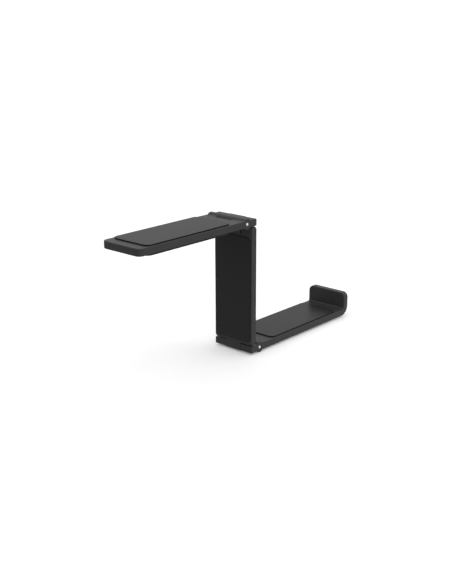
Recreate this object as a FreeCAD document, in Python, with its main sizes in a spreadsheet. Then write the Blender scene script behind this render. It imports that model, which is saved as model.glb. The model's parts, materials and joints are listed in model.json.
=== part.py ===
"""Folding under-desk headphone hook: three flat plates joined by two friction hinges.

Every plate is drawn in a frame of its own, with a hinge pin along Y, and is then placed in the
part's frame. The part's frame has its origin at the middle of the desk pad's upper face, +Z up
into the desk, +X along the desk plate towards its hinge and +Y across the plates.
All sizes are millimetres.
"""
import FreeCAD, Part
import os
import Sketcher

DRIVING_SIZES = {
    # plates
    "plate_width": 30.0,
    "plate_thick": 4.4,
    "desk_reach": 86.1,        # upper pin to the desk plate's tip
    "arm_reach": 93.7,         # lower pin to the hook's outer face
    "hook_rise": 13.5,         # lower pin to the top of the hook
    "pin_spacing": 80.0,       # upper pin to lower pin, along the centre plate
    "pin_gap": 3.85,           # pin axis to the near face of the centre plate
    "corner_radius": 3.5,
    "shoulder_radius": 1.7,
    "edge_radius": 0.5,
    "end_radius": 0.6,
    "bend_inside": 1.0,        # inside radius of the hook's bend
    "bend_outside": 6.4,
    # hinges
    "knuckle_radius": 3.4,
    "root_radius": 0.8,
    "slot_width": 12.4,
    "slot_end": 5.2,           # pin axis to the closed end of the slot
    "tongue_width": 12.1,
    "shoulder_drop": 2.8,      # pin axis to the shoulders of the centre plate
    "web_drop": 7.9,           # pin axis to the foot of the tongue's web
    "slit_width": 0.8,
    "slit_depth": 2.4,
    "pin_radius": 1.0,
    "pin_length": 29.8,
    "pin_round": 0.45,
    "countersink": 0.5,
    "sleeve_radius": 1.5,
    "sleeve_play": 0.03,
    "washer_radius": 2.5,
    "washer_thick": 0.5,
    "washer_seat": 0.45,
    "washer_play": 0.1,
    # pads
    "pad_length": 66.4,
    "headband_length": 68.9,
    "pad_width": 28.0,
    "pad_corner": 3.5,
    "pad_proud": 0.75,         # pad and its adhesive together
    "underside_proud": 1.0,
    "front_proud": 0.5,
    "film_thick": 0.12,
    "desk_pad_start": 13.0,    # upper pin to the near end of the desk pad
    "arm_pad_start": 12.9,     # lower pin to the near end of the headband pad
    "centre_pad_start": 9.05,  # pin on the pad's side to the near end of a centre pad
}

DERIVED_SIZES = {
    "block_end": "=pin_gap + plate_thick",
    "pin_offset": "=2 * pin_gap + plate_thick",
    "half_thick": "=plate_thick / 2",
    "half_width": "=plate_width / 2",
    "half_pins": "=pin_spacing / 2",
    "half_offset": "=pin_offset / 2",
    "web_radius": "=(web_drop ^ 2 / (knuckle_radius + pin_gap) + pin_gap - knuckle_radius) / 2",
    "web_start": "=(pin_gap - web_radius) * knuckle_radius / (knuckle_radius + web_radius)",
    "desk_pad_mid": "=desk_pad_start + pad_length / 2",
    "arm_pad_mid": "=arm_pad_start + headband_length / 2",
    "centre_pad_mid": "=centre_pad_start + pad_length / 2 - half_pins",
    "face_drop": "=half_thick + pad_proud",      # desk pad's upper face to the upper pin
    "sleeve_length": "=tongue_width - 2 * washer_seat",
}

document = FreeCAD.newDocument("headphone_hook")


def make_sheet():
    """Write the driving and derived sizes into the spreadsheet, one alias each."""
    sheet = document.addObject("Spreadsheet::Sheet", "Sizes")
    cells = list(DRIVING_SIZES.items()) + list(DERIVED_SIZES.items())
    for row, (alias, content) in enumerate(cells, start=1):
        sheet.set(f"A{row}", alias)
        sheet.set(f"B{row}", str(content))
        sheet.setAlias(f"B{row}", alias)
    document.recompute()
    return sheet


SHEET = make_sheet()


def size(alias):
    """The value of one cell as a plain number."""
    return float(SHEET.get(alias))


# ---------------------------------------------------------------- sketch and feature helpers

def new_body(name):
    body = document.addObject("PartDesign::Body", name)
    body.Label = name
    return body


def origin_feature(body, role):
    return next(item for item in body.Origin.OriginFeatures if item.Role == role)


def new_sketch(body, name, plane, lift=None):
    """A sketch on one of the body's origin planes, moved off it by the expression lift."""
    sketch = body.newObject("Sketcher::SketchObject", f"{body.Name}_{name}")
    sketch.AttachmentSupport = [(origin_feature(body, plane), "")]
    sketch.MapMode = "FlatFace"
    if lift:
        sketch.setExpression("AttachmentOffset.Base.z", lift)
    return sketch


def bind(sketch, constraint, name, expression):
    """Add a named dimension to a sketch and drive it from the spreadsheet."""
    index = sketch.addConstraint(constraint)
    sketch.renameConstraint(index, name)
    sketch.setExpression(f"Constraints.{name}", expression)


def draw_rectangle(sketch, left, right, bottom, top):
    """A rectangle whose four sides stand at the given expressions from the origin."""
    corners = [(-1, -1), (1, -1), (1, 1), (-1, 1)]
    points = [FreeCAD.Vector(x, y, 0) for x, y in corners]
    for start, end in zip(points, points[1:] + points[:1]):
        sketch.addGeometry(Part.LineSegment(start, end), False)
    for line in range(4):
        sketch.addConstraint(Sketcher.Constraint("Coincident", line, 2, (line + 1) % 4, 1))
    for line, kind in enumerate(["Horizontal", "Vertical", "Horizontal", "Vertical"]):
        sketch.addConstraint(Sketcher.Constraint(kind, line))
    bind(sketch, Sketcher.Constraint("DistanceX", -1, 1, 0, 1, -1.0), "left", left)
    bind(sketch, Sketcher.Constraint("DistanceX", -1, 1, 1, 1, 1.0), "right", right)
    bind(sketch, Sketcher.Constraint("DistanceY", -1, 1, 0, 1, -1.0), "bottom", bottom)
    bind(sketch, Sketcher.Constraint("DistanceY", -1, 1, 2, 1, 1.0), "top", top)


def draw_circle(sketch, radius, across="0", up="0"):
    """A circle of the given radius with its centre at the given expressions."""
    circle = Part.Circle(FreeCAD.Vector(0.1, 0.1, 0), FreeCAD.Vector(0, 0, 1), 1.0)
    index = sketch.addGeometry(circle, False)
    bind(sketch, Sketcher.Constraint("Radius", index, 1.0), f"radius_{index}", radius)
    bind(sketch, Sketcher.Constraint("DistanceX", -1, 1, index, 3, 0.1), f"across_{index}", across)
    bind(sketch, Sketcher.Constraint("DistanceY", -1, 1, index, 3, 0.1), f"up_{index}", up)


def pad(body, sketch, length, both_ways=True):
    feature = body.newObject("PartDesign::Pad", f"{sketch.Name}_pad")
    feature.Profile = sketch
    feature.Midplane = both_ways
    feature.setExpression("Length", length)
    document.recompute()
    return feature


def pocket(body, sketch, length, both_ways=True, turned=False):
    """Cut a sketch into the body and make sure that it removed something."""
    document.recompute()
    before = body.Shape.Volume
    feature = body.newObject("PartDesign::Pocket", f"{sketch.Name}_pocket")
    feature.Profile = sketch
    feature.Midplane = both_ways
    feature.Reversed = turned
    feature.setExpression("Length", length)
    document.recompute()
    if body.Shape.Volume >= before:
        raise RuntimeError(f"{feature.Name} cuts nothing")
    return feature


def edges_where(shape, test):
    """Names of the edges whose every sampled point passes the test."""
    names = []
    for number, edge in enumerate(shape.Edges, start=1):
        span = edge.LastParameter - edge.FirstParameter
        points = [edge.valueAt(edge.FirstParameter + span * part) for part in (0, 0.3, 0.7, 1)]
        if all(test(point) for point in points):
            names.append(f"Edge{number}")
    return names


def dress(body, kind, name, test, expression):
    """Fillet or chamfer every edge of the body's tip that passes the test."""
    base = body.Tip
    feature = body.newObject(f"PartDesign::{kind}", f"{body.Name}_{name}")
    feature.Base = (base, edges_where(base.Shape, test))
    feature.setExpression("Radius" if kind == "Fillet" else "Size", expression)
    document.recompute()
    return feature


def near(value, target):
    return abs(value - target) < 1e-4


def put(body, across="0", up="0", aside="0", axis=None, angle=0):
    """Place a body in the part's frame: a turn about an axis, then a move by expressions."""
    if axis:
        turn = FreeCAD.Rotation(FreeCAD.Vector(*axis), angle)
        body.Placement = FreeCAD.Placement(FreeCAD.Vector(0, 0, 0), turn)
    for direction, expression in zip("xyz", (across, aside, up)):
        body.setExpression(f"Placement.Base.{direction}", expression)


# ------------------------------------------------- places of the two pins in the part's frame

UPPER_PIN = ("Sizes.desk_pad_mid", "-Sizes.face_drop")
LOWER_PIN = ("Sizes.desk_pad_mid + Sizes.pin_offset", "-Sizes.face_drop - Sizes.pin_spacing")
LINK_MIDDLE = ("Sizes.desk_pad_mid + Sizes.half_offset", "-Sizes.face_drop - Sizes.half_pins")


# --------------------------------------------------------------------------------- the plates

def slotted_plate(name, reach):
    """A plate along -X from its pin, with a block past the pin and two side knuckles on it."""
    body = new_body(name)
    outline = new_sketch(body, "outline", "XY_Plane")
    draw_rectangle(outline, f"-Sizes.{reach}", "Sizes.block_end",
                   "-Sizes.half_width", "Sizes.half_width")
    pad(body, outline, "Sizes.plate_thick")
    barrel = new_sketch(body, "barrel", "XZ_Plane")
    draw_circle(barrel, "Sizes.knuckle_radius")
    pad(body, barrel, "Sizes.plate_width")
    return body


def round_knuckles(body):
    """Blend the knuckles into the plate and round the end of the block."""
    half_thick = size("half_thick")
    knuckle = size("knuckle_radius")

    def at_root(point):
        on_barrel = near(point.x ** 2 + point.z ** 2, knuckle ** 2)
        return on_barrel and near(abs(point.z), half_thick)

    def at_block_end(point):
        return near(point.x, size("block_end")) and near(abs(point.z), half_thick)

    dress(body, "Fillet", "roots", at_root, "Sizes.root_radius")
    dress(body, "Fillet", "block_end", at_block_end, "Sizes.end_radius")


def cut_hinge(body):
    """Cut the slot for the centre plate's tongue and the countersunk bore for the pin."""
    slot = new_sketch(body, "slot", "XY_Plane")
    draw_rectangle(slot, "-Sizes.slot_end", "Sizes.block_end + 1",
                   "-Sizes.slot_width / 2", "Sizes.slot_width / 2")
    pocket(body, slot, "4 * Sizes.knuckle_radius")
    bore = new_sketch(body, "bore", "XZ_Plane")
    draw_circle(bore, "Sizes.pin_radius")
    pocket(body, bore, "Sizes.plate_width + 2")

    def at_bore_mouth(point):
        on_bore = near(point.x ** 2 + point.z ** 2, size("pin_radius") ** 2)
        return on_bore and near(abs(point.y), size("half_width"))

    dress(body, "Chamfer", "countersinks", at_bore_mouth, "Sizes.countersink")


def make_desk_plate():
    """The plate that is stuck under the desk."""
    body = slotted_plate("desk_plate", "desk_reach")
    reach = size("desk_reach")
    half_width = size("half_width")
    half_thick = size("half_thick")
    round_knuckles(body)
    dress(body, "Fillet", "corners",
          lambda point: near(point.x, -reach) and near(abs(point.y), half_width),
          "Sizes.corner_radius")

    def on_rim(point):
        at_side = near(abs(point.y), half_width)
        at_tip = point.x < -reach + size("corner_radius") + 1e-4 and near(abs(point.z), half_thick)
        return at_side or at_tip

    dress(body, "Fillet", "rim", on_rim, "Sizes.edge_radius")
    cut_hinge(body)
    put(body, *UPPER_PIN)


def make_hook_arm():
    """The lower plate, drawn along -X with its hook down, then turned over about Y."""
    body = slotted_plate("hook_arm", "arm_reach")
    upright = new_sketch(body, "upright", "XZ_Plane")
    draw_rectangle(upright, "-Sizes.arm_reach", "-Sizes.arm_reach + Sizes.plate_thick",
                   "-Sizes.hook_rise", "Sizes.half_thick")
    pad(body, upright, "Sizes.plate_width")
    outer_face = -size("arm_reach")
    inner_face = outer_face + size("plate_thick")
    half_width = size("half_width")
    half_thick = size("half_thick")
    hook_top = -size("hook_rise")
    round_knuckles(body)
    dress(body, "Fillet", "bend_outside",
          lambda point: near(point.x, outer_face) and near(point.z, half_thick),
          "Sizes.bend_outside")
    dress(body, "Fillet", "bend_inside",
          lambda point: near(point.x, inner_face) and near(point.z, -half_thick),
          "Sizes.bend_inside")
    dress(body, "Fillet", "corners",
          lambda point: near(point.z, hook_top) and near(abs(point.y), half_width),
          "Sizes.corner_radius")

    def on_rim(point):
        at_side = near(abs(point.y), half_width)
        on_face = near(point.x, outer_face) or near(point.x, inner_face)
        at_top = on_face and point.z < hook_top + size("corner_radius") + 1e-4
        return at_side or at_top

    dress(body, "Fillet", "rim", on_rim, "Sizes.edge_radius")
    cut_hinge(body)
    put(body, *LOWER_PIN, axis=(0, 1, 0), angle=180)


def make_centre_plate():
    """The upright plate, drawn about its own middle, with the same tongue turned round at each end."""
    body = new_body("centre_plate")
    outline = new_sketch(body, "outline", "YZ_Plane")
    shoulder = "(Sizes.half_pins - Sizes.shoulder_drop)"
    draw_rectangle(outline, "-Sizes.half_width", "Sizes.half_width", f"-{shoulder}", shoulder)
    pad(body, outline, "Sizes.plate_thick")
    half_width = size("half_width")
    half_thick = size("half_thick")
    shoulder_height = size("half_pins") - size("shoulder_drop")
    dress(body, "Fillet", "shoulders",
          lambda point: near(abs(point.y), half_width) and near(abs(point.z), shoulder_height),
          "Sizes.shoulder_radius")
    dress(body, "Fillet", "rim", lambda point: near(abs(point.x), half_thick),
          "Sizes.edge_radius")
    features = add_tongue(body)
    pattern = body.newObject("PartDesign::PolarPattern", "centre_plate_both_ends")
    pattern.Originals = features
    pattern.Axis = (origin_feature(body, "Y_Axis"), [""])
    pattern.Angle = 360
    pattern.Occurrences = 2
    body.Tip = pattern
    document.recompute()
    put(body, *LINK_MIDDLE)


def add_tongue(body):
    """The upper tongue: barrel, block, neck and web, its bore, washer seats and side slits."""
    pin_x = "-Sizes.half_offset"
    pin_z = "Sizes.half_pins"
    near_face = "-Sizes.half_thick"

    neck = new_sketch(body, "neck", "XZ_Plane")
    draw_rectangle(neck, near_face, "Sizes.half_thick",
                   f"{pin_z} - Sizes.web_drop", f"{pin_z} + Sizes.half_thick")
    block = new_sketch(body, "block", "XZ_Plane")
    draw_rectangle(block, pin_x, "Sizes.half_thick",
                   f"{pin_z} - Sizes.half_thick", f"{pin_z} + Sizes.half_thick")
    barrel = new_sketch(body, "barrel", "XZ_Plane")
    draw_circle(barrel, "Sizes.knuckle_radius", pin_x, pin_z)
    web = new_sketch(body, "web", "XZ_Plane")
    draw_rectangle(web, f"{pin_x} + Sizes.web_start", near_face,
                   f"{pin_z} - Sizes.web_drop", pin_z)
    features = [pad(body, sketch, "Sizes.tongue_width") for sketch in (neck, block, barrel, web)]

    hollow = new_sketch(body, "web_hollow", "XZ_Plane")
    draw_circle(hollow, "Sizes.web_radius", f"{near_face} - Sizes.web_radius",
                f"{pin_z} - Sizes.web_drop")
    features.append(pocket(body, hollow, "Sizes.tongue_width + 2"))
    bore = new_sketch(body, "bore", "XZ_Plane")
    draw_circle(bore, "Sizes.sleeve_radius", pin_x, pin_z)
    features.append(pocket(body, bore, "Sizes.tongue_width + 2"))
    for side, name in ((1, "left"), (-1, "right")):
        seat = new_sketch(body, f"seat_{name}", "XZ_Plane", f"{side} * Sizes.tongue_width / 2")
        draw_circle(seat, "Sizes.washer_radius + Sizes.washer_play", pin_x, pin_z)
        features.append(pocket(body, seat, "Sizes.washer_seat", False, side < 0))
        slit = new_sketch(body, f"slit_{name}", "XZ_Plane",
                          f"{side} * (Sizes.tongue_width + Sizes.slit_width) / 2")
        draw_rectangle(slit, f"{near_face} - 1", f"{near_face} + Sizes.slit_depth",
                       f"{pin_z} - Sizes.web_drop", f"{pin_z} - Sizes.shoulder_drop + 1")
        features.append(pocket(body, slit, "Sizes.slit_width", False, side < 0))
    return features


# ------------------------------------------------------------------------- the hinge hardware

def make_pin(name, place):
    """A steel hinge pin with rounded ends."""
    body = new_body(name)
    section = new_sketch(body, "section", "XZ_Plane")
    draw_circle(section, "Sizes.pin_radius")
    pad(body, section, "Sizes.pin_length")
    half_length = size("pin_length") / 2
    dress(body, "Fillet", "ends", lambda point: near(abs(point.y), half_length),
          "Sizes.pin_round")
    put(body, *place)


def make_ring(name, place, outside, inside, length, aside="0"):
    """A sleeve or washer about a pin."""
    body = new_body(name)
    section = new_sketch(body, "section", "XZ_Plane")
    draw_circle(section, outside)
    draw_circle(section, inside)
    pad(body, section, length)
    put(body, *place, aside=aside)


def make_hinge_hardware(level, place):
    make_pin(f"{level}_hinge_pin", place)
    make_ring(f"{level}_friction_sleeve", place, "Sizes.sleeve_radius",
              "Sizes.pin_radius + Sizes.sleeve_play", "Sizes.sleeve_length")
    washer_middle = "(Sizes.tongue_width / 2 - Sizes.washer_seat + Sizes.washer_thick / 2)"
    for side, name in (("-", "right"), ("", "left")):
        make_ring(f"{level}_{name}_washer", place, "Sizes.washer_radius",
                  "Sizes.pin_radius + Sizes.washer_play", "Sizes.washer_thick",
                  aside=f"{side}{washer_middle}")


# ----------------------------------------------------------------------------------- the pads

def make_layer(name, long, bottom, thickness, place, axis, angle):
    """One flat layer with round corners, drawn on XY and lifted to its height in the stack."""
    body = new_body(name)
    outline = new_sketch(body, "outline", "XY_Plane", bottom)
    draw_rectangle(outline, f"-Sizes.{long} / 2", f"Sizes.{long} / 2",
                   "-Sizes.pad_width / 2", "Sizes.pad_width / 2")
    pad(body, outline, thickness, both_ways=False)
    half_length = size(long) / 2
    half_width = size("pad_width") / 2
    dress(body, "Fillet", "corners",
          lambda point: near(abs(point.x), half_length) and near(abs(point.y), half_width),
          "Sizes.pad_corner")
    put(body, *place, axis=axis, angle=angle)


def make_pad_stack(name, place, axis=None, angle=0, long="pad_length", proud="pad_proud"):
    """A silicone pad on its adhesive film, both standing on the same face of a plate."""
    make_layer(f"{name}_film", long, "0", "Sizes.film_thick", place, axis, angle)
    make_layer(f"{name}_pad", long, "Sizes.film_thick", f"Sizes.{proud} - Sizes.film_thick",
               place, axis, angle)


def make_pads():
    """The desk pad and the four silicone pads, each on its plate's face."""
    make_layer("desk_adhesive_pad", "pad_length", "0", "Sizes.pad_proud",
               ("0", "-Sizes.pad_proud"), None, 0)
    make_pad_stack("underside", ("0", "-Sizes.pad_proud - Sizes.plate_thick"), (1, 0, 0), 180,
                   proud="underside_proud")
    link_x, link_z = LINK_MIDDLE
    make_pad_stack("centre_front", (f"{link_x} - Sizes.half_thick",
                                    f"{link_z} - Sizes.centre_pad_mid"), (0, 1, 0), -90,
                   proud="front_proud")
    make_pad_stack("centre_rear", (f"{link_x} + Sizes.half_thick",
                                   f"{link_z} + Sizes.centre_pad_mid"), (0, 1, 0), 90)
    pin_x, pin_z = LOWER_PIN
    make_pad_stack("headband", (f"{pin_x} + Sizes.arm_pad_mid", f"{pin_z} + Sizes.half_thick"),
                   long="headband_length")


# ------------------------------------------------------------------------------------- output

def check_and_write():
    """Stop on any failed object or bad solid, then write one STEP file per body."""
    document.recompute()
    for item in document.Objects:
        if "Invalid" in item.State or "Error" in item.State:
            raise RuntimeError(f"{item.Label} failed: {item.State}")
    os.makedirs("parts", exist_ok=True)
    for body in document.findObjects("PartDesign::Body"):
        shape = body.Shape
        if shape.isNull() or not shape.isValid() or len(shape.Solids) != 1:
            raise RuntimeError(f"{body.Label} has no single valid solid")
        shape.exportStep(f"parts/{body.Label}.step")
        box = shape.BoundBox
        print(f"{body.Label:24s} {shape.Volume:10.2f} mm3  x {box.XMin:.2f} {box.XMax:.2f}  "
              f"y {box.YMin:.2f} {box.YMax:.2f}  z {box.ZMin:.2f} {box.ZMax:.2f}")


make_desk_plate()
make_centre_plate()
make_hook_arm()
make_hinge_hardware("upper", UPPER_PIN)
make_hinge_hardware("lower", LOWER_PIN)
make_pads()
check_and_write()
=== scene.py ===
"""Looks of the folding headphone hook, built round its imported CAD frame.

The metal plates and the hinge hardware keep their CAD shapes and get procedural materials. The five
pads are modelled here as moulded slabs with rolled edges. All lengths are in metres.
"""
import json
import math

import bmesh
import bpy
from mathutils import Matrix, Vector


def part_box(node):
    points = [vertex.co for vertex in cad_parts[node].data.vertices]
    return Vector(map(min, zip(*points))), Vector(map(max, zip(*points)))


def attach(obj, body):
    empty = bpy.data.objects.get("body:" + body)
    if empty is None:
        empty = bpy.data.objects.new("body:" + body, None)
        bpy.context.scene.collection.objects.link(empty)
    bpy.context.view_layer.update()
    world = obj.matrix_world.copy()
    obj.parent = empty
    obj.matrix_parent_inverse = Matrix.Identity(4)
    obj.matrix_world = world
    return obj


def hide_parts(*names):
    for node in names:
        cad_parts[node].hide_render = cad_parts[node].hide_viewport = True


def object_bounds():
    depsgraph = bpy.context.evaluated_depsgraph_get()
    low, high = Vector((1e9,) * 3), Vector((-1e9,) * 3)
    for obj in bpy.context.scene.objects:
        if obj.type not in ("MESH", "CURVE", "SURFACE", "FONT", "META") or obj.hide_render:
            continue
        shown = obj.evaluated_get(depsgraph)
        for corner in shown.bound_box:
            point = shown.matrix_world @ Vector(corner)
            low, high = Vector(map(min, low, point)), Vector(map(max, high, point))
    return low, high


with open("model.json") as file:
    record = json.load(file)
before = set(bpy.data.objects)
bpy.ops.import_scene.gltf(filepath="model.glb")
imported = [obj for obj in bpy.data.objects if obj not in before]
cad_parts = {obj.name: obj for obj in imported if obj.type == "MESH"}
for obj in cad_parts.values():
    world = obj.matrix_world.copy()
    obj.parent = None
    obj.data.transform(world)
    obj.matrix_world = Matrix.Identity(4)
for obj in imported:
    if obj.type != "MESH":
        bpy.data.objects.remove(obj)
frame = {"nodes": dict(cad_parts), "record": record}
CAD_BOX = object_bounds()

MM = 0.001

# ------------------------------------------------------------------------------------- camera

CAMERA_FROM_PIN = Vector((-398.11, -357.45, 125.48)) * MM     # from the upper hinge pin's middle
CAMERA_HEADING = 47.893      # degrees from +Y towards +X
CAMERA_TILT = 17.620         # degrees below the horizon
CAMERA_ROLL = 0.230
CAMERA_LENS = 56.85          # mm, for the sensor below along the picture's long side
CAMERA_SENSOR = 36.0
CAMERA_NEAR = 10 * MM
CAMERA_FAR = 10000 * MM


def make_camera():
    """The photograph's view: from the desk plate's tip side, slightly above the part."""
    heading = math.radians(CAMERA_HEADING)
    tilt = math.radians(CAMERA_TILT)
    level = math.cos(tilt)
    forward = Vector((math.sin(heading) * level, math.cos(heading) * level, -math.sin(tilt)))
    right = Vector((math.cos(heading), -math.sin(heading), 0))
    turn = Matrix((right, right.cross(forward), -forward)).transposed().to_4x4()
    roll = Matrix.Rotation(math.radians(-CAMERA_ROLL), 4, "Z")
    data = bpy.data.cameras.new("camera")
    data.lens = CAMERA_LENS
    data.sensor_width = CAMERA_SENSOR
    data.clip_start = CAMERA_NEAR
    data.clip_end = CAMERA_FAR
    camera = bpy.data.objects.new("camera", data)
    low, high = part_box("upper_hinge_pin")
    camera.matrix_world = Matrix.Translation((low + high) / 2 + CAMERA_FROM_PIN) @ turn @ roll
    bpy.context.scene.collection.objects.link(camera)
    bpy.context.scene.camera = camera


# --------------------------------------------------------------------------- material helpers

class Nodes:
    """A short way to build one material's node tree."""

    def __init__(self, name):
        self.material = bpy.data.materials.new(name)
        self.material.use_nodes = True
        self.tree = self.material.node_tree
        self.shader = self.tree.nodes["Principled BSDF"]
        self.place = self.add("ShaderNodeTexCoord").outputs["Object"]

    def add(self, kind, **inputs):
        """A new node, each named input linked to a socket or set to a value."""
        node = self.tree.nodes.new(kind)
        for name, value in inputs.items():
            socket = node.inputs[name.replace("_", " ")]
            if hasattr(value, "is_output"):
                self.tree.links.new(value, socket)
            else:
                socket.default_value = value
        return node

    def noise(self, scale, detail=2.0, roughness=0.5):
        """Noise in the object's own space, scale in features per metre."""
        node = self.add("ShaderNodeTexNoise", Vector=self.place, Scale=scale, Detail=detail,
                        Roughness=roughness)
        return node.outputs["Fac"]

    def span(self, value, low, high, from_low=0.25, from_high=0.75):
        """value, stretched from one range to the range from low to high."""
        node = self.add("ShaderNodeMapRange")
        self.tree.links.new(value, node.inputs["Value"])
        for name, number in (("From Min", from_low), ("From Max", from_high),
                             ("To Min", low), ("To Max", high)):
            node.inputs[name].default_value = number
        return node.outputs["Result"]

    def sum(self, first, second, share):
        """first plus share times second."""
        node = self.add("ShaderNodeMath")
        node.operation = "MULTIPLY_ADD"
        self.tree.links.new(second, node.inputs[0])
        node.inputs[1].default_value = share
        self.tree.links.new(first, node.inputs[2])
        return node.outputs[0]

    def colour(self, value, dark, light):
        """A colour between dark and light, by value."""
        node = self.tree.nodes.new("ShaderNodeMix")
        node.data_type = "RGBA"
        self.tree.links.new(value, node.inputs["Factor"])
        node.inputs["A"].default_value = (*dark, 1)
        node.inputs["B"].default_value = (*light, 1)
        self.tree.links.new(node.outputs["Result"], self.shader.inputs["Base Color"])

    def roughen(self, value):
        self.tree.links.new(value, self.shader.inputs["Roughness"])

    def bump(self, height, strength, distance):
        node = self.add("ShaderNodeBump", Strength=strength, Distance=distance)
        self.tree.links.new(height, node.inputs["Height"])
        self.tree.links.new(node.outputs["Normal"], self.shader.inputs["Normal"])

    def set(self, **values):
        for name, value in values.items():
            self.shader.inputs[name.replace("_", " ")].default_value = value


BLACK_IOR = 1.3               # of the powder coat, the silicone and the foam


def grey(level):
    return (level, level, level)


def powder_coat():
    """Satin black powder coat: a fine orange peel with faint specks."""
    m = Nodes("satin_powder_coat")
    peel = m.noise(2600, 2.0)
    grain = m.noise(9000, 1.0)
    cloud = m.noise(55, 3.0)
    m.colour(m.span(m.sum(cloud, grain, 0.5), 0, 1, 0.55, 0.95), grey(0.034), grey(0.040))
    m.roughen(m.span(m.sum(cloud, peel, 0.6), 0.34, 0.37, 0.5, 1.1))
    m.bump(m.sum(peel, grain, 0.4), 0.25, 0.02 * MM)
    m.set(IOR=BLACK_IOR)
    return m.material


def silicone():
    """Moulded black silicone with a fine matt grain."""
    m = Nodes("black_silicone")
    grain = m.noise(5200, 2.0)
    fine = m.noise(14000, 1.0)
    cloud = m.noise(90, 2.0)
    m.colour(m.span(m.sum(grain, fine, 0.6), 0, 1, 0.55, 1.05), grey(0.015), grey(0.020))
    m.roughen(m.span(cloud, 0.345, 0.36))
    m.bump(m.sum(grain, fine, 0.5), 0.3, 0.02 * MM)
    m.set(IOR=BLACK_IOR)
    return m.material


def foam():
    """Adhesive foam: slightly greyer than silicone, with open pores."""
    m = Nodes("black_adhesive_foam")
    pores = m.noise(3800, 3.0, 0.6)
    cloud = m.noise(70, 2.0)
    m.colour(m.span(pores, 0, 1, 0.35, 0.7), grey(0.014), grey(0.021))
    m.roughen(m.span(m.sum(cloud, pores, 0.5), 0.345, 0.36, 0.5, 1.0))
    m.bump(pores, 0.35, 0.03 * MM)
    m.set(IOR=BLACK_IOR)
    return m.material


def film():
    """Thin black adhesive film, seen only at its cut edge."""
    m = Nodes("black_adhesive_film")
    grain = m.noise(4000, 2.0)
    m.colour(grain, grey(0.006), grey(0.012))
    m.roughen(m.span(grain, 0.45, 0.6))
    return m.material


def pin_steel():
    """Polished steel with fine turning marks."""
    m = Nodes("polished_steel")
    marks = m.noise(3000, 2.0)
    m.colour(marks, grey(0.90), grey(0.95))
    m.roughen(m.span(marks, 0.16, 0.26))
    m.bump(marks, 0.1, 0.01 * MM)
    m.set(Metallic=1.0)
    return m.material


def brass():
    """Plain machined brass."""
    m = Nodes("machined_brass")
    marks = m.noise(2500, 2.0)
    m.colour(marks, (0.55, 0.38, 0.16), (0.68, 0.50, 0.24))
    m.roughen(m.span(marks, 0.25, 0.4))
    m.set(Metallic=1.0)
    return m.material


def acetal():
    """Plain black moulded plastic."""
    m = Nodes("black_acetal")
    grain = m.noise(4500, 2.0)
    m.colour(grain, grey(0.009), grey(0.015))
    m.roughen(m.span(grain, 0.4, 0.55))
    return m.material


def paint_cad_nodes():
    """Give each CAD node the material of its record slot."""
    makers = {"coated_plate": powder_coat, "pin_steel": pin_steel, "sleeve_brass": brass,
              "washer_plastic": acetal, "desk_foam": foam, "pad_silicone": silicone,
              "adhesive_film": film}
    made = {slot: maker() for slot, maker in makers.items()}
    for entry in frame["record"]["subparts"]:
        data = frame["nodes"][entry["node"]].data
        data.materials.clear()
        data.materials.append(made[entry["material_slot"]])
    return made


# --------------------------------------------------------------------------------------- pads

PAD_CORNER = 3.5 * MM
PAD_EDGE = 0.2 * MM           # radius of the rolled upper edge
PAD_UNDERCUT = 0.22 * MM      # how far the side leans in towards the foot
PAD_CROWN = 0.03 * MM         # rise of the middle above the rim
LEAST_CORNER = 0.4 * MM       # corner radius of the inner rings
CROWN_INSETS = (0.6 * MM, 1.4 * MM, 3.0 * MM, 6.0 * MM, 10.0 * MM)
ROLL_STEPS = 6                # steps over the rolled edge
CORNER_STEPS = 14             # steps round a corner, along a side and across an end
SIDE_STEPS = 12
END_STEPS = 5


def outline(half_long, half_wide, corner):
    """Points of a rounded rectangle about the origin, the same number for any size."""
    arcs = []
    for turn, (sx, sy) in enumerate([(1, 1), (-1, 1), (-1, -1), (1, -1)]):
        centre = Vector((sx * (half_long - corner), sy * (half_wide - corner)))
        angles = [math.pi / 2 * (turn + step / CORNER_STEPS) for step in range(CORNER_STEPS + 1)]
        arcs.append([centre + corner * Vector((math.cos(a), math.sin(a))) for a in angles])
    points = []
    for arc, following, steps in zip(arcs, arcs[1:] + arcs[:1], (SIDE_STEPS, END_STEPS) * 2):
        points += arc
        points += [arc[-1].lerp(following[0], step / steps) for step in range(1, steps)]
    return points


def pad_mesh(name, long, wide, thick):
    """A slab on z 0 with round corners, a rolled rim and a slightly crowned top."""
    rings = [(PAD_UNDERCUT, 0.0), (0.0, thick - PAD_CROWN - PAD_EDGE)]     # inset and height
    for step in range(1, ROLL_STEPS + 1):
        angle = math.pi / 2 * step / ROLL_STEPS
        rings.append((PAD_EDGE * (1 - math.cos(angle)),
                      thick - PAD_CROWN - PAD_EDGE * (1 - math.sin(angle))))
    for inset in CROWN_INSETS:
        share = (inset - PAD_EDGE) / (CROWN_INSETS[-1] - PAD_EDGE)
        rings.append((inset, thick - PAD_CROWN * (1 - share) ** 2))
    mesh = bmesh.new()
    loops = []
    for inset, height in rings:
        corner = max(PAD_CORNER - inset, LEAST_CORNER)
        flat = outline(long / 2 - inset, wide / 2 - inset, corner)
        loops.append([mesh.verts.new((p.x, p.y, height)) for p in flat])
    for lower, upper in zip(loops, loops[1:]):
        for i in range(len(lower)):
            j = (i + 1) % len(lower)
            mesh.faces.new((lower[i], lower[j], upper[j], upper[i]))
    mesh.faces.new(list(reversed(loops[0])))
    mesh.faces.new(loops[-1])
    for face in mesh.faces:
        face.smooth = True
    data = bpy.data.meshes.new(name)
    mesh.to_mesh(data)
    mesh.free()
    return data


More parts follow.
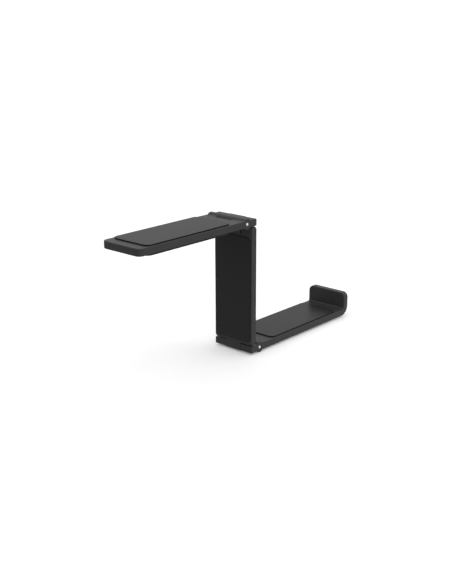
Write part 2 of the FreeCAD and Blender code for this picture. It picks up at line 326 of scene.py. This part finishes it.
def make_pad(name, node, body, material, up):
    """A pad in place of its CAD node. Its soft face looks the way up."""
    low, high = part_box(node)
    up = Vector(up)
    thick = abs((high - low).dot(up))
    along = Vector((1, 0, 0)) if abs(up.x) < 0.5 else Vector((0, 0, 1))
    long = abs((high - low).dot(along))
    wide = (high - low).y
    base = (low + high) / 2 - up * thick / 2
    turn = Matrix((along, up.cross(along), up)).transposed().to_4x4()
    data = pad_mesh(name, long, wide, thick)
    data.transform(Matrix.Translation(base) @ turn)
    data.materials.append(material)
    piece = bpy.data.objects.new(name, data)
    bpy.context.scene.collection.objects.link(piece)
    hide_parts(node)
    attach(piece, body)


def make_pads(materials):
    """The foam pad on the desk plate and the four silicone pads."""
    rubber = materials["pad_silicone"]
    make_pad("desk_foam_pad", "desk_adhesive_pad", "desk_side", materials["desk_foam"],
             (0, 0, 1))
    for name, node, body, up in (
            ("underside_silicone_pad", "underside_pad", "desk_side", (0, 0, -1)),
            ("front_silicone_pad", "centre_front_pad", "centre_link", (-1, 0, 0)),
            ("rear_silicone_pad", "centre_rear_pad", "centre_link", (1, 0, 0)),
            ("headband_silicone_pad", "headband_pad", "hook_side", (0, 0, 1))):
        make_pad(name, node, body, rubber, up)


# ------------------------------------------------------------------------------ floor and light

TABLE_HALF = 2100 * MM
TABLE_GAP = 0.05 * MM         # between the part and the table top
TABLE_GLOW = 0.167
BACKDROP_RADIUS = 3000 * MM
BACKDROP_GLOW = 1.1
SKY_EVEN = 0.06               # the same light from every side
SKY_LOBES = (                 # direction and strength of each softbox
    ((0, 0, 1), 0.96),
    ((0, -1, 0), 0.80),
    ((0, 1, 0), 0.34),
    ((1, 0, 0), 0.15),
    ((-1, 0, 0), 0.16),
    ((0, 0, -1), 0.08),
)


def show_to_camera_only(obj):
    """The table and the backdrop are seen, but throw no light on the part."""
    obj.visible_diffuse = False
    obj.visible_glossy = False
    obj.visible_transmission = False
    obj.visible_shadow = False


def make_floor():
    """A plain pale table top just under the part, with a faint glow of its own."""
    data = bpy.data.meshes.new("floor")
    height = CAD_BOX[0].z - TABLE_GAP
    corners = [(-TABLE_HALF, -TABLE_HALF, height), (TABLE_HALF, -TABLE_HALF, height),
               (TABLE_HALF, TABLE_HALF, height), (-TABLE_HALF, TABLE_HALF, height)]
    data.from_pydata(corners, [], [(0, 1, 2, 3)])
    floor = bpy.data.objects.new("floor", data)
    bpy.context.scene.collection.objects.link(floor)
    m = Nodes("pale_floor")
    m.colour(m.noise(6, 2.0), grey(0.94), grey(0.96))
    m.set(Roughness=1.0, Specular_IOR_Level=0.0, Emission_Color=(1, 1, 1, 1),
          Emission_Strength=TABLE_GLOW)
    data.materials.append(m.material)
    show_to_camera_only(floor)


def make_backdrop():
    """A white dome round the table."""
    mesh = bmesh.new()
    bmesh.ops.create_icosphere(mesh, subdivisions=4, radius=BACKDROP_RADIUS)
    data = bpy.data.meshes.new("backdrop")
    mesh.to_mesh(data)
    mesh.free()
    backdrop = bpy.data.objects.new("backdrop", data)
    bpy.context.scene.collection.objects.link(backdrop)
    m = Nodes("white_backdrop")
    m.set(Base_Color=(0, 0, 0, 1), Emission_Color=(1, 1, 1, 1), Emission_Strength=BACKDROP_GLOW)
    data.materials.append(m.material)
    show_to_camera_only(backdrop)


def make_world():
    """Six large softboxes, each a smooth lobe from one side, over a little even light."""
    world = bpy.data.worlds.new("studio")
    world.use_nodes = True
    tree = world.node_tree
    way = tree.nodes.new("ShaderNodeTexCoord").outputs["Generated"]
    total = None
    for direction, strength in SKY_LOBES:
        dot = tree.nodes.new("ShaderNodeVectorMath")
        dot.operation = "DOT_PRODUCT"
        tree.links.new(way, dot.inputs[0])
        dot.inputs[1].default_value = direction
        lobe = tree.nodes.new("ShaderNodeMath")
        lobe.operation = "MAXIMUM"
        tree.links.new(dot.outputs["Value"], lobe.inputs[0])
        lobe.inputs[1].default_value = 0.0
        add = tree.nodes.new("ShaderNodeMath")
        add.operation = "MULTIPLY_ADD"
        tree.links.new(lobe.outputs[0], add.inputs[0])
        add.inputs[1].default_value = strength
        add.inputs[2].default_value = SKY_EVEN
        if total:
            tree.links.new(total, add.inputs[2])
        total = add.outputs[0]
    background = tree.nodes["Background"]
    background.inputs["Color"].default_value = (1, 1, 1, 1)
    tree.links.new(total, background.inputs["Strength"])
    bpy.context.scene.world = world


make_camera()
make_pads(paint_cad_nodes())
make_floor()
make_backdrop()
make_world()
bpy.context.scene.view_settings.view_transform = "Standard"
